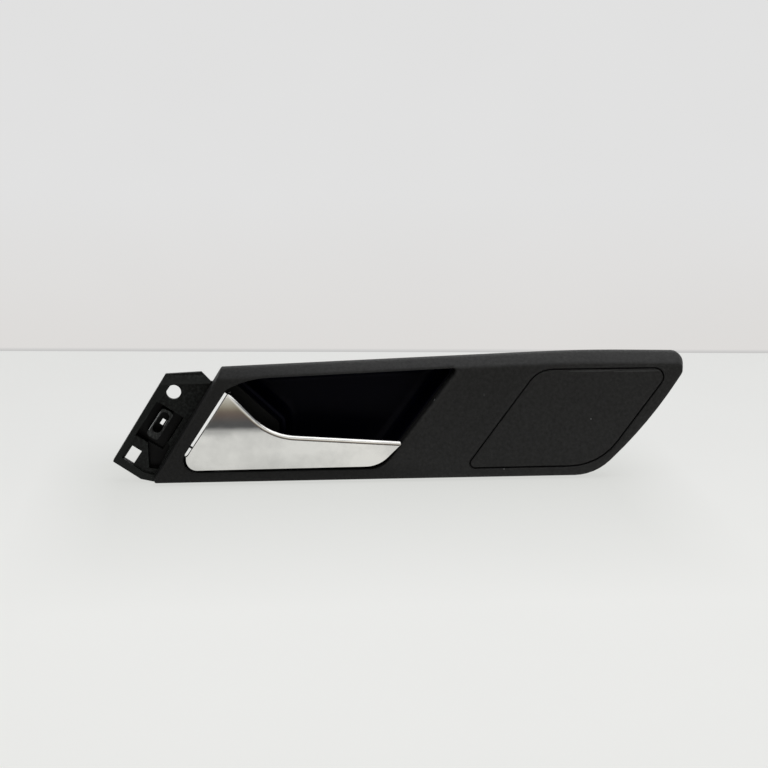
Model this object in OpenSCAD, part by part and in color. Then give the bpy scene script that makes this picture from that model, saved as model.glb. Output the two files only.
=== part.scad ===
// Inside door handle of a car: a long grained bezel with a finger bowl, a sprung pull lever
// that turns on a slanted steel pin, a padded insert, and the carrier that holds the hinge.
// X runs along the handle, Y into the door, Z up. Sizes are in millimetres.
// Outlines are drawn from the lower left corner of the bezel's face. The part's origin is
// the centre of the locating hole, on the front of the carrier's plate.

/* [Bezel] */
// Length of the bezel along its lower edge, to where the slanted end would meet it
bezel_length = 249; // [244:1:262]
// Height of the bezel at its upper left corner
bezel_left_height = 62.5; // [62:0.5:66]
// Height of the highest point of the upper edge
bezel_height = 69.3; // [68:0.1:72]
// Depth of the bezel from its face to its rear edge
bezel_depth = 12; // [11:0.5:16]
// Wall thickness of the bezel
bezel_wall = 2.5; // [2:0.1:3]
// Depth of the sloped band along the upper edge
band_depth = 8; // [6:0.5:9]
// Height of the sloped band along the upper edge
band_height = 4.6; // [3:0.2:5]
// Rounding of the bezel's front edges
edge_round = 0.8; // [0.4:0.1:1]
// How far the lower edge lies below the hinge side's reference line
bezel_drop = 0.8; // [0:0.1:1]

/* [Opening] */
// Height of the opening's lower edge above the bezel's lower edge
opening_bottom = 5.2; // [4.8:0.1:6]
// Width of the rounded grip edge at the right of the opening
grip_round = 3.4; // [2:0.2:4]
// Depth of the collar round the opening
collar_depth = 9.6; // [9.6:0.2:11]

/* [Insert] */
// Thickness of the insert panel
insert_thickness = 2; // [1.6:0.1:2.4]
// Width of the seam round the insert panel
insert_seam = 0.8; // [0.4:0.05:1]
// Thickness of the shelf behind the insert panel
shelf_thickness = 1.6; // [1.2:0.1:2.4]
// Radius of the pins that hold the insert panel
insert_pin_r = 1.5; // [1.2:0.1:2]

/* [Finger bowl] */
// Depth of the bowl's floor behind the bezel's face
bowl_depth = 30; // [26:1:36]
// Wall thickness of the bowl
bowl_wall = 2; // [1.6:0.1:2.6]
// Thickness of the bowl's ears and rear flange
flange_thickness = 2; // [1.6:0.1:3]

/* [Lever] */
// Gap between the lever and the bezel along its lower edge
lever_gap = 1; // [0.8:0.1:1.6]
// Wall thickness of the lever
lever_wall = 2.2; // [1.8:0.1:2.4]
// Depth of the lever's turned-back edges
lever_depth = 3.8; // [3.2:0.1:4.4]
// How far the lever stands out in front of the bezel's face
lever_proud = 0.6; // [0.2:0.1:1]
// Width of the sloped bead along the lever's upper edge
bead_width = 2.2; // [1.4:0.1:2.4]
// Radius of the lever's leaning upper face
lean_radius = 70; // [50:5:100]
// Height at which the face starts to lean back
lean_start = 30; // [26:1:34]

/* [Hinge] */
// Distance of the hinge axis from the lever's slanted edge
hinge_inset = 9; // [8.5:0.25:10]
// Depth of the hinge axis behind the bezel's face
hinge_y = 5.6; // [5.5:0.1:6]
// Radius of the hinge pin
pin_r = 1.5; // [1.3:0.1:1.6]
// Running clearance of the pin, on its radius
pin_clearance = 0.05; // [0.02:0.01:0.1]
// Radius of the lugs and ears round the pin
lug_r = 3; // [2.8:0.1:3.2]
// Wire radius of the return spring
wire_r = 0.45; // [0.35:0.05:0.5]
// Turns of the return spring
spring_turns = 9; // [6:1:11]
// Depth of the cable's seat in the lever's arm
cable_y = 24; // [23:0.5:27]

/* [Carrier] */
// Thickness of the carrier's plate
plate_thickness = 2.2; // [1.8:0.1:3]
// Radius of the locating hole
locator_r = 4.05; // [3:0.05:4.5]
// Depth of the well in the carrier
well_depth = 7; // [5:0.5:8]
// Wall thickness of the well and the screw collar
well_wall = 1.6; // [1.2:0.1:2]

/* [Fasteners] */
// Shank radius of the screws
screw_r = 1.3; // [1:0.1:1.5]
// Head radius of the screws
screw_head_r = 3; // [2.4:0.1:3.4]
// Height of the screw heads
screw_head_h = 1.8; // [1.4:0.1:2.4]
// Length of a screw's shank
screw_length = 8; // [6:0.5:9]
// Thickness of the trim clips' sheet metal
clip_sheet = 0.5; // [0.4:0.1:0.8]
// Reach of the clip towers behind the bezel's face
tower_reach = 22; // [18:1:26]

/* [Hidden] */
$fn = 64;
eps = 0.01;
// How far pieces of one moulding run into each other
lap = 0.3;

// Two-dimensional helpers. An outline is a list of corners [x, z, radius], anticlockwise.
function unit(v) = v / norm(v);
function at(c) = [c[0], c[1]];
function wrapped(a) = a > 180 ? a - 360 : a < -180 ? a + 360 : a;
function angle_of(v) = atan2(v[1], v[0]);
// Points of the arc that rounds corner p between its neighbours a and b
function corner_arc(a, p, b, r, n) =
    let (u = unit(a - p), v = unit(b - p), half = acos(u * v) / 2)
    let (start = p + u * r / tan(half), centre = p + unit(u + v) * r / sin(half))
    let (first = angle_of(start - centre))
    let (sweep = wrapped(angle_of(p + v * r / tan(half) - centre) - first))
    [for (i = [0:n]) centre + r * [cos(first + sweep * i / n), sin(first + sweep * i / n)]];
function rounded(c, n = 6) =
    let (m = len(c))
    [for (i = [0:m - 1])
        each corner_arc(at(c[(i + m - 1) % m]), at(c[i]), at(c[(i + 1) % m]), c[i][2], n)];
function side_normal(a, b) = let (u = unit(b - a)) [u[1], -u[0]];
// Corner p of an outline after the side before it has moved outward by d and the one after by e
function moved(a, p, b, r, d, e) =
    let (before = side_normal(a, p), after = side_normal(p, b))
    let (out = [d * after[1] - e * before[1], e * before[0] - d * after[0]] / cross(before, after))
    let (bend = cross(p - a, b - p))
    [p[0] + out[0], p[1] + out[1], max(r + (bend > 0 ? 1 : -1) * (d + e) / 2, 0.15)];
// An outline with every side moved inward by its own distance. Side i starts at corner i.
function shrunk(c, d) =
    let (m = len(c))
    [for (i = [0:m - 1])
        let (k = (i + m - 1) % m)
        moved(at(c[k]), at(c[i]), at(c[(i + 1) % m]), c[i][2], -d[k], -d[i])];
function grown(c, d) = shrunk(c, [for (p = c) -d]);
function mixed(a, b, t) = [for (i = [0:len(a) - 1]) a[i] * (1 - t) + b[i] * t];

// How far back the lever's face leans at a height
function lean(z) =
    z > lean_start ? lean_radius - sqrt(pow(lean_radius, 2) - pow(z - lean_start, 2)) : 0;

// A solid skinned over rings [outline points, y, share of the lean], listed from front to back.
// The share can be left out. Each end is closed by a fan of triangles round the middle of its
// ring, from where the whole ring can be seen.
module skin(rings) {
    n = len(rings[0][0]);
    last = n * (len(rings) - 1);
    hub = last + n;
    middles = [for (ring = [rings[0], rings[len(rings) - 1]])
        let (m = [for (p = ring[0]) 1 / n] * ring[0])
        [m[0], ring[1], m[1]]];
    points = [for (ring = rings)
        let (share = len(ring) > 2 ? ring[2] : 0)
        each [for (p = ring[0]) [p[0], ring[1] + share * lean(p[1]), p[1]]]];
    sides = [for (k = [0:n:last - n], i = [0:n - 1])
        let (j = (i + 1) % n)
        each [[k + i, k + j, k + n + j], [k + i, k + n + j, k + n + i]]];
    ends = [for (i = [0:n - 1])
        let (j = (i + 1) % n)
        each [[hub, j, i], [hub + 1, last + i, last + j]]];
    polyhedron(concat(points, middles), concat(ends, sides));
}

// A prism of outline points in X and Z, from y0 to y1
module prism(points, y0, y1) {
    translate([0, y1, 0])
        rotate([90, 0, 0])
            linear_extrude(y1 - y0)
                polygon(points);
}

// A round peg along Y
module peg(x, z, y0, y1, r) {
    translate([x, y1, z])
        rotate([90, 0, 0])
            cylinder(r = r, h = y1 - y0);
}

// A box between two corners
module block(low, high) {
    translate(low)
        cube(high - low);
}

// Slope of the lever's slanted edge, and its lower end: the frame of the hinge.
// Inside at_edge(), X runs across the slot, Y into the door, and Z along the hinge.
edge_lean = 33.5;
edge_x = 19.2;
edge_z = 15.2;
module at_edge() {
    translate([edge_x, 0, edge_z])
        rotate([0, edge_lean, 0])
            children();
}

// Bezel outlines: the rear rim, and the face inside the sloped band. The slanted end bulges a
// little, which its middle corner of large radius gives.
tip_x = bezel_length + 47.2;
bulge = [bezel_length + 27.9, 29];
rim = [
    [-0.5, -bezel_drop, 1.2],
    [bezel_length - 2.6, -bezel_drop, 29],
    [bulge[0], bulge[1], 237],
    [tip_x - 0.4, 58.2, 11],
    [tip_x, bezel_height - 1.3, 6.2],
    [238, bezel_height, 950],
    [bezel_left_height * 0.617, bezel_left_height, 1.2]
];
face_inset = 0.4;
face_left = bezel_left_height - band_height;
face = [
    [face_inset - 0.5, face_inset - bezel_drop, 1],
    [bezel_length - 2.6, face_inset - bezel_drop, 28.6],
    [bulge[0] - face_inset * 0.7, bulge[1], 236.6],
    [tip_x - 1.8, 57.6, 4],
    [tip_x - 2.2, bezel_height - 6.4, 3],
    [228, bezel_height - band_height - 0.4, 1200],
    [face_left * 0.617 + face_inset, face_left, 1]
];

// Opening outlines: where it meets the face, and the throat behind the rounded grip edge
opening_slope = 52.4;
opening_right = 126.2;
throat = [
    [10.9, opening_bottom, 7],
    [opening_right, opening_bottom + 0.2, 14],
    [opening_right + 56.6 / tan(opening_slope) - 0.8, opening_bottom + 56.8, 1.8],
    [53, face_left - 0.2, 50],
    [41.2, face_left - 6, 1]
];
mouth = [
    [10.9, opening_bottom, 7],
    [opening_right + grip_round * 0.55, opening_bottom - 0.1, 15],
    [throat[2][0] + grip_round, opening_bottom + 57, 2.4],
    [53, face_left - 0.2, 50],
    [41.2, face_left - 6, 1]
];
// Behind the face the opening's left side steps back, so that the lever's root can swing
relief = 2;
relieved = [
    [throat[0][0] - relief * 1.1, throat[0][1] - 0.6, 7.6],
    throat[1],
    throat[2],
    [throat[3][0], throat[3][1] + 0.3, 50],
    [throat[4][0] - relief * 0.9, throat[4][1] + 1.2, 1.2]
];

// Collar round the opening, with its upper side a given height above the opening's
function collar_at(above) = [
    [relieved[0][0] - 3, relieved[0][1] - 1.5, 9],
    [relieved[1][0] + 2, relieved[1][1] - 1.7, 15],
    [relieved[2][0] + 3, relieved[2][1] + above, 3],
    [54, relieved[3][1] + above, 40],
    [relieved[4][0] - 1.2, relieved[4][1] + 0.6, 2]
];
stiffeners = [174, 206, 250];

// Insert outline, the seam's outer edge
seam = [
    [172, 4.4, 3.4],
    [248.9, 4.6, 33],
    [289.7, 60.9, 5.8],
    [213.1, 60.9, 16]
];
shelf_y = insert_thickness + 0.1;
insert_pins = [[190, 14], [236, 14], [212, 50], [268, 52]];

// Finger bowl outline: the throat, with its left side on the ridge beside the hinge housing
bowl_gap = 0.3;
ridge_x = 73;
bowl_rim = [
    [ridge_x, opening_bottom + bowl_gap, 2],
    [throat[1][0] - bowl_gap, throat[1][1] + bowl_gap, 13],
    [throat[2][0] - 0.9, throat[2][1] - bowl_gap, 2.6],
    [45.8, face_left - 0.8, 2],
    [ridge_x, 32, 5]
];
bowl_ears = [[152, 15], [183, 47]];
// Flange behind the hinge housing, which closes the gap between the two
bowl_flange = [
    [ridge_x - 15, 6.8, 3],
    [ridge_x + 4, 6.8, 1],
    [ridge_x + 4, 30, 1],
    [51, 57.5, 1],
    [44.4, 57.5, 1],
    [43.6, 29, 4],
    [ridge_x - 15, 25, 6]
];

// Lever outline
lever_bottom = opening_bottom + lever_gap;
lever_left = throat[0][0] + 7.1;
lever_outline = [
    [lever_left, lever_bottom, 6.4],
    [lever_left, 14.4, 0.4],
    [edge_x, 15.4, 0.3],
    [42.4, 50.4, 1.2],
    [65, 26.3, 35],
    [139.2, 20.9, 1.3],
    [124.9, lever_bottom, 21]
];
// Wound the other way round, because the corners above run clockwise
lever_corners = [for (i = [len(lever_outline) - 1:-1:0]) lever_outline[i]];
lever_face = -lever_proud;
function lever_top(x) =
    lever_outline[5][1] + (lever_outline[5][0] - x) * (lever_outline[4][1] - lever_outline[5][1])
    / (lever_outline[5][0] - lever_outline[4][0]);

// Stations along the hinge axis
ear_thickness = 1.2;
lower_ear = 3.5;
axial_gap = 0.4;
lower_lug = lower_ear + ear_thickness + axial_gap;
lug_thickness = 2.4;
spring_start = lower_lug + lug_thickness + 0.6;
upper_lug = 27.4;
upper_ear = upper_lug + lug_thickness + axial_gap;
upper_ear_thickness = 2;
clip_start = upper_ear + upper_ear_thickness + 0.15;
pin_end = clip_start + 1.8;
pin_head_h = 0.9;
coil_r = pin_r + pin_clearance + wire_r + 0.35;
spring_pitch = (upper_lug - spring_start - 1.4) / spring_turns;

// Carrier
plate_y = bezel_depth;
plate_back = plate_y + plate_thickness;
ridge_gap = 2.9;
tab = [
    [-22.4, 10.1, 0.6],
    [-7.2, -0.3, 0.8],
    [-0.4, -2.2, 0.4],
    [3, 0.6, 0.6],
    [ridge_x - ridge_gap, 0.6, 1],
    [ridge_x - ridge_gap, 30, 4],
    [44.4, 54.4, 1],
    [44.4, 60.2, 1],
    [38.6, 60.2, 0.6],
    [33.6, 54.1, 0.4],
    [32.6, 54.1, 0.3],
    [27.5, 59.6, 0.5],
    [7.8, 58.7, 0.6]
];
locator = [12, 48.4];
well = [[-29.4, -8.2], [-11.8, 14.5]];
collar_low = [-24.7, -4.8];
collar_high = [-17.4, 13.2];
// A second pocket runs from the well down to the lower edge, beside the bezel
side_pocket = [[-3, 22.5, 0.5], [-2.5, 5.4, 0.5], [2.4, 4.6, 1], [9.3, 17.8, 1], [4.8, 24, 0.5]];
side_pocket_depth = 5;
collar_front = plate_y - 2;
rim_front = plate_y - 2;
well_back = plate_y + well_depth;
arm_width = 4.4;
// The stop meets the round end of the cable arm when the lever has turned this far
pull_angle = 35;
arm_end_r = arm_width / 2 + 1.6;
stop_n = hinge_inset + (cable_y - hinge_y) * sin(pull_angle) + arm_end_r + 0.05;
stop_y = hinge_y + (cable_y - hinge_y) * cos(pull_angle);
pad_at = [30, 22];
pad_thickness = 1.8;
pad_gap = 0.3;
abutment_n = -7.4;

// Screws: place, y of the head's seat
bezel_screws = [[11.2, 6.6], [bezel_left_height * 0.617 + 1.3, bezel_left_height - 4.3]];
housing_screws = [[64, 12], [49.5, 32.5]];
screw_seats = [
    [bezel_screws[0], plate_back], [bezel_screws[1], plate_back],
    [bowl_ears[0], bezel_depth + flange_thickness], [bowl_ears[1], bezel_depth + flange_thickness],
    [housing_screws[0], plate_back + flange_thickness + 0.1],
    [housing_screws[1], plate_back + flange_thickness + 0.1]
];
pilot_r = screw_r + 0.05;
boss_r = screw_r + 1.7;

// Trim clips: place of each tower, which is a flat rib along X
towers = [[196, 22], [232, 54], [262, 42], [242, 25]];
tower_w = 7;
tower_t = 2.2;

datum = [locator[0], plate_y, locator[1]];
module on_datum() {
    translate(-datum)
        children();
}

module bezel_body() {
    outer_rim = rounded(rim);
    outer_face = rounded(face);
    skin([
        [rounded(grown(face, -edge_round)), 0],
        [rounded(grown(face, -edge_round * 0.3)), edge_round * 0.25],
        [mixed(outer_face, outer_rim, 0.08), edge_round],
        [mixed(outer_face, outer_rim, 0.5), band_depth * 0.42],
        [mixed(outer_face, outer_rim, 0.82), band_depth * 0.72],
        [mixed(outer_face, outer_rim, 0.96), band_depth * 0.92],
        [outer_rim, band_depth * 1.15],
        [outer_rim, bezel_depth]
    ]);
}

module bezel_cavity() {
    inner_face = rounded(grown(face, -bezel_wall - 0.6));
    inner_rim = rounded(grown(rim, -bezel_wall));
    skin([
        [inner_face, bezel_wall],
        [mixed(inner_face, inner_rim, 0.6), band_depth * 0.75],
        [inner_rim, band_depth * 1.2],
        [inner_rim, bezel_depth + 1]
    ]);
}

// The hole for the lever and the bowl: rounded grip edge, throat and relief
module opening_cut() {
    wide = rounded(mouth);
    narrow = rounded(throat);
    skin([
        [wide, -1],
        [wide, 0],
        [mixed(wide, narrow, 0.4), 0.25],
        [mixed(wide, narrow, 0.68), 0.8],
        [mixed(wide, narrow, 0.88), 1.6],
        [mixed(narrow, rounded(relieved), 0.35), 2.6],
        [rounded(relieved), 3.8],
        [rounded(relieved), bezel_depth + 1]
    ]);
}

module insert_shelf() {
    prism(rounded(grown(seam, 1.6)), bezel_wall - lap, shelf_y + shelf_thickness);
}

module tower_rib(place) {
    block([place[0] - tower_w / 2, shelf_y + shelf_thickness - lap, place[1] - tower_t / 2],
        [place[0] + tower_w / 2, tower_reach, place[1] + tower_t / 2]);
    foot = tower_t + 2.4;
    block([place[0] - tower_w / 2 - 3, shelf_y + shelf_thickness - lap, place[1] - tower_t / 2],
        [place[0] + tower_w / 2 + 3, bezel_depth - 1, place[1] + tower_t / 2]);
    block([place[0] - tower_t / 2, shelf_y + shelf_thickness - lap, place[1] - foot],
        [place[0] + tower_t / 2, bezel_depth - 1, place[1] + foot]);
}

module bezel() {
    color([0.14, 0.14, 0.14])
        difference() {
            union() {
                difference() {
                    bezel_body();
                    bezel_cavity();
                }
                prism(rounded(collar_at(-1)), bezel_wall - lap, band_depth * 0.55);
                prism(rounded(collar_at(1.8)), band_depth * 0.5, collar_depth);
                insert_shelf();
                peg(bezel_screws[0][0], bezel_screws[0][1], bezel_wall - lap, bezel_depth, boss_r);
                peg(bezel_screws[1][0], bezel_screws[1][1], band_depth * 0.7, bezel_depth, boss_r);
                for (p = bowl_ears) peg(p[0], p[1], bezel_wall - lap, bezel_depth, boss_r);
                for (x = stiffeners)
                    block([x, bezel_wall - lap, 6], [x + 1.4, 6, seam[3][1]]);
                for (p = towers) tower_rib(p);
            }
            opening_cut();
            prism(rounded(seam), -1, shelf_y);
            for (p = insert_pins) peg(p[0], p[1], 0, bezel_depth, insert_pin_r + 0.1);
            for (p = concat(bezel_screws, bowl_ears))
                peg(p[0], p[1], bezel_depth - screw_length + 1, bezel_depth + 1, pilot_r);
        }
}

module insert_panel() {
    inner = grown(seam, -insert_seam);
    color([0.12, 0.12, 0.12]) {
        skin([
            [rounded(grown(inner, -0.45)), 0.1],
            [rounded(grown(inner, -0.13)), 0.22],
            [rounded(inner), 0.55],
            [rounded(inner), shelf_y]
        ]);
        for (p = insert_pins) {
            peg(p[0], p[1], shelf_y - eps, shelf_y + shelf_thickness + 0.6, insert_pin_r);
            peg(p[0], p[1], shelf_y + shelf_thickness, shelf_y + shelf_thickness + 0.9,
                insert_pin_r + 0.9);
        }
    }
}

// Rings of the bowl at an outward offset, down to its rounded floor
module bowl_form(offset_out, floor_y) {
    round_y = floor_y - 9;
    skin([
        [rounded(grown(bowl_rim, offset_out)), collar_depth + 0.1 - (offset_out > 0 ? 0 : 1)],
        [rounded(grown(bowl_rim, offset_out - 1.2)), round_y],
        [rounded(grown(bowl_rim, offset_out - 2.6)), floor_y - 4],
        [rounded(grown(bowl_rim, offset_out - 4.6)), floor_y - 1.3],
        [rounded(grown(bowl_rim, offset_out - 7.6)), floor_y]
    ]);
}

module bowl_ear(p, root_x, root_z) {
    peg(p[0], p[1], bezel_depth, bezel_depth + flange_thickness, 5);
    reach = norm([p[0] - root_x, p[1] - root_z]);
    translate([root_x, bezel_depth, root_z])
        rotate([0, -atan2(p[1] - root_z, p[0] - root_x), 0])
            block([0, 0, -5], [reach, flange_thickness, 5]);
}

// A round ridge where the bowl's left wall meets the hinge housing
module bowl_ridge() {
    line = rounded(grown(bowl_rim, 0.5));
    bend = [for (i = [len(line) - 7:len(line) - 1]) line[i]];
    path = concat([[48.6, 54.4]], bend, [[ridge_x - 0.5, 8.5]]);
    wire([for (p = path) [p[0], plate_y + 1.4, p[1]]], 1.5, 12, [0, 1, 0]);
}

module finger_bowl() {
    color([0.05, 0.05, 0.06]) {
        bowl_ridge();
        difference() {
            union() {
                bowl_form(bowl_wall, bowl_depth + bowl_wall);
                bowl_ear(bowl_ears[0], 132, 28);
                bowl_ear(bowl_ears[1], 160, 56);
                prism(rounded(bowl_flange), plate_back + 0.1, plate_back + 0.1 + flange_thickness);
            }
            bowl_form(0, bowl_depth);
            prism([[20, -5], [ridge_x + 2.5, -5], [ridge_x + 2.5, 33.2], [50, 59], [50, 70], [20, 70]],
                0, plate_back + 0.1);
            for (p = concat(bowl_ears, housing_screws))
                peg(p[0], p[1], bezel_depth - 1, plate_back + 4, screw_r + 0.4);
        }
    }
}

// Walls of the well, its floor and the screw collar that stands in it
module well_solid() {
    w = well_wall;
    block([well[0][0] - w, plate_y, well[0][1] - w],
        [well[1][0] + w, well_back + w, well[1][1] + w]);
}

module well_hollow() {
    block([well[0][0], rim_front - 3, well[0][1]], [well[1][0], well_back, well[1][1]]);
}

module rounded_slot(low, high, y0, y1) {
    r = (high[0] - low[0]) / 2;
    for (s = [low[1] + r, high[1] - r])
        translate([low[0] + r, y1, s])
            rotate([90, 0, 0])
                cylinder(r = r, h = y1 - y0);
    block([low[0], y0, low[1] + r], [high[0], y1, high[1] - r]);
}

module screw_collar() {
    rounded_box(collar_low, collar_high, 2, collar_front, well_back + eps);
}

module rounded_box(low, high, r, y0, y1) {
    for (n = [low[0] + r, high[0] - r], s = [low[1] + r, high[1] - r])
        peg(n, s, y0, y1, r);
    block([low[0] + r, y0, low[1]], [high[0] - r, y1, high[1]]);
    block([low[0], y0, low[1] + r], [high[0], y1, high[1] - r]);
}

module hinge_ear(s0, thickness) {
    at_edge() {
        translate([hinge_inset, hinge_y, s0])
            cylinder(r = lug_r, h = thickness);
        block([hinge_inset - lug_r, hinge_y, s0], [hinge_inset + lug_r, plate_y + eps, s0 + thickness]);
    }
}

module cable_abutment() {
    at_edge()
        difference() {
            block([abutment_n - 3, plate_back - eps, 1.4], [abutment_n, cable_y + 3, 11.4]);
            translate([abutment_n - 4, cable_y, 6.3])
                rotate([0, 90, 0])
                    cylinder(r = 2.6, h = 5);
            block([abutment_n - 4, cable_y, 3.9], [abutment_n + 1, cable_y + 4, 8.7]);
        }
}

module rest_post() {
    post_y = lever_face + lever_wall + pad_gap + pad_thickness;
    at_edge()
        block([pad_at[0] - 3, post_y, pad_at[1] - 3], [pad_at[0] + 3, plate_y + eps, pad_at[1] + 3]);
}

module stop_rib() {
    at_edge()
        block([stop_n + pad_thickness, plate_back - eps, 2.4],
            [stop_n + pad_thickness + 2.4, stop_y + 2.6, 10.4]);
}

module carrier() {
    color([0.09, 0.1, 0.1])
        difference() {
            union() {
                prism(rounded(tab, 4), plate_y, plate_back);
                tab_rim();
                at_edge() well_solid();
                prism(rounded(grown(side_pocket, well_wall), 4), plate_y,
                    plate_y + side_pocket_depth + well_wall);
                hinge_ear(lower_ear, ear_thickness);
                hinge_ear(upper_ear, upper_ear_thickness);
                cable_abutment();
                rest_post();
                stop_rib();
                for (p = housing_screws) peg(p[0], p[1], plate_y - 5, plate_y + eps, boss_r);
            }
            difference() {
                union() {
                    at_edge() well_hollow();
                    prism(rounded(side_pocket, 4), rim_front - 1, plate_y + side_pocket_depth);
                }
                at_edge() screw_collar();
            }
            at_edge() {
                rounded_slot([-23.7, -1.2], [-18.5, 11.8], rim_front - 3, well_back);
                block([-20.8, well_back - 1, 2.8], [-18.8, well_back + well_wall + 1, 6.5]);
                slot_window();
                arm_window();
                block([-27.4, plate_y - 1, -22.6], [-21.2, plate_back + 1, -14.2]);
                translate([hinge_inset, hinge_y, lower_ear - 1])
                    cylinder(r = pin_r + pin_clearance, h = pin_end);
            }
            peg(locator[0], locator[1], plate_y - 1, plate_back + 1, locator_r);
            for (p = bezel_screws) peg(p[0], p[1], plate_y - 1, plate_back + 1, screw_r + 0.4);
            for (p = housing_screws)
                peg(p[0], p[1], plate_back - screw_length + flange_thickness, plate_back + 1, pilot_r);
        }
}

// The plate is open behind the slot, apart from a thin web below the lower ear
module slot_window() {
    difference() {
        block([-4.4, plate_y - 1, -4], [5.2, plate_back + 1, 38.6]);
        block([-5, plate_y - 2, lower_ear - 1.8], [6, plate_back + 2, lower_ear - 1]);
    }
}

module arm_window() {
    block([hinge_inset - 2.6, plate_y - 1, lower_lug - 0.6],
        [hinge_inset + 10.6, plate_back + 1, lower_lug + lug_thickness + 0.6]);
}

// Raised rim along the tab's free edges, with a broad sloping face on its upper side
module tab_rim() {
    inner = [
        [-17.6, 12.4, 0.5], [-5.6, 3.6, 0.5], [0.4, 1.6, 0.5],
        [33.0, 53.2, 0.4], [28.9, 53.2, 0.5], [10.6, 53.0, 0.5]
    ];
    outer = [
        [-22.4, 10.1, 0.6], [-7.2, -0.3, 0.8], [0.4, -2, 0.4],
        [32.9, 54.3, 0.4], [27.5, 59.6, 0.5], [7.8, 58.7, 0.6]
    ];
    difference() {
        prism(rounded(outer, 4), rim_front, plate_y + eps);
        prism(rounded(inner, 4), rim_front - 1, plate_y + 1);
        prism(rounded(rim), rim_front - 4, plate_y);
        translate([0, rim_front, 53])
            rotate([-22, 0, 0])
                block([-10, -8, 0], [40, 0, 12]);
    }
}

// Front half-space of the lever: flat below, leaning back on a cylinder above
module lever_front(back_by) {
    block([0, lever_face + back_by, -5], [150, 20, lean_start]);
    intersection() {
        translate([0, lever_face + lean_radius, lean_start])
            rotate([0, 90, 0])
                cylinder(r = lean_radius - back_by, h = 150, $fn = 180);
        block([0, -5, lean_start - eps], [150, 20, 70]);
    }
}

// The lever's outline with its upper edge, its right end and its other sides moved inward
function lever_ring(bead, end, others) =
    rounded(shrunk(lever_corners, [end, bead, bead, others, others, others, others]));

// A flat face, a sloped bead along the upper edge, and edges that turn back. The right end draws
// in behind the face, where it passes in front of the opening's rounded edge.
module lever_shell() {
    w = bead_width;
    back = lever_face + lever_depth;
    difference() {
        intersection() {
            skin([
                [lever_ring(w, 0.5, 0.4), lever_face - 1],
                [lever_ring(w, 0.5, 0.4), lever_face, 1],
                [lever_ring(w * 0.8, 0.3, 0.24), lever_face + 0.09, 1],
                [lever_ring(w * 0.6, 0.12, 0.08), lever_face + 0.32, 1],
                [lever_ring(w * 0.25, 0.3, 0.02), lever_face + 0.98, 1],
                [lever_ring(w * 0.05, 0.7, 0), lever_face + 1.5, 1],
                [lever_ring(0, 1.3, 0), lever_face + 1.9, 1],
                [lever_ring(0, 2, 0), back, 0.7]
            ]);
            lever_front(0.03);
        }
        intersection() {
            prism(lever_ring(lever_wall, 3.6, lever_wall), lever_face, back + 4);
            lever_front(lever_wall);
        }
    }
}

module lever_lug(s0) {
    translate([hinge_inset, hinge_y, s0])
        cylinder(r = lug_r, h = lug_thickness);
    block([hinge_inset - lug_r, lever_face + lever_wall - 0.4, s0],
        [hinge_inset + lug_r, hinge_y, s0 + lug_thickness]);
}

module lever() {
    color([0.78, 0.78, 0.79])
        difference() {
            union() {
                lever_shell();
                at_edge() {
                    lever_lug(lower_lug);
                    lever_lug(upper_lug);
                    block([hinge_inset - arm_width / 2, hinge_y, lower_lug],
                        [hinge_inset + arm_width / 2, cable_y, lower_lug + lug_thickness]);
                    translate([hinge_inset, cable_y, lower_lug])
                        cylinder(r = arm_end_r, h = lug_thickness);
                }
                for (x = [72, 88, 104])
                    block([x, lever_face + lever_wall - lap, lever_bottom + 1],
                        [x + 1.4, lever_face + lever_depth - 0.3, lever_top(x) - 1]);
            }
            at_edge() {
                translate([hinge_inset, hinge_y, lower_lug - 1])
                    cylinder(r = pin_r + pin_clearance, h = upper_lug + lug_thickness);
                translate([hinge_inset, cable_y, lower_lug - 1])
                    cylinder(r = 2.1, h = lug_thickness + 2);
            }
        }
}

module hinge_pin() {
    color([0.6, 0.6, 0.6])
        at_edge()
            translate([hinge_inset, hinge_y, 0])
                difference() {
                    union() {
                        translate([0, 0, lower_ear - pin_head_h - 0.1])
                            cylinder(r = pin_r + 0.9, h = pin_head_h);
                        translate([0, 0, lower_ear - 0.2])
                            cylinder(r = pin_r, h = pin_end - lower_ear + 0.2);
                    }
                    translate([0, 0, clip_start])
                        difference() {
                            cylinder(r = pin_r + 1, h = 0.7);
                            translate([0, 0, -1])
                                cylinder(r = pin_r - 0.4, h = 3);
                        }
                }
}

module pin_clip() {
    color([0.55, 0.55, 0.56])
        at_edge()
            translate([hinge_inset, hinge_y, clip_start + 0.05])
                difference() {
                    cylinder(r = pin_r + 1.3, h = 0.6);
                    translate([0, 0, -1])
                        cylinder(r = pin_r - 0.35, h = 3);
                    block([-0.75, 0, -1], [0.75, 5, 2]);
                }
}

// A closed tube of round wire through the points of a path, with rings that face along it
function tangent(path, i) =
    unit(path[min(i + 1, len(path) - 1)] - path[max(i - 1, 0)]);
function ring_at(p, t, ref, r, sides) =
    let (a = unit(cross(t, ref)), b = cross(a, t))
    [for (k = [0:sides - 1]) p + r * (cos(360 * k / sides) * a + sin(360 * k / sides) * b)];
module wire(path, r, sides = 6, across = [0, 0, 1]) {
    n = len(path);
    points = [for (i = [0:n - 1]) each ring_at(path[i], tangent(path, i), across, r, sides)];
    quads = [for (i = [0:n - 2], k = [0:sides - 1])
        let (m = (k + 1) % sides)
        [i * sides + k, i * sides + m, (i + 1) * sides + m, (i + 1) * sides + k]];
    split = [for (q = quads) each [[q[0], q[1], q[2]], [q[0], q[2], q[3]]]];
    first = [for (k = [sides - 1:-1:0]) k];
    last = [for (k = [0:sides - 1]) (n - 1) * sides + k];
    polyhedron(points, concat([first, last], split));
}

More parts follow.
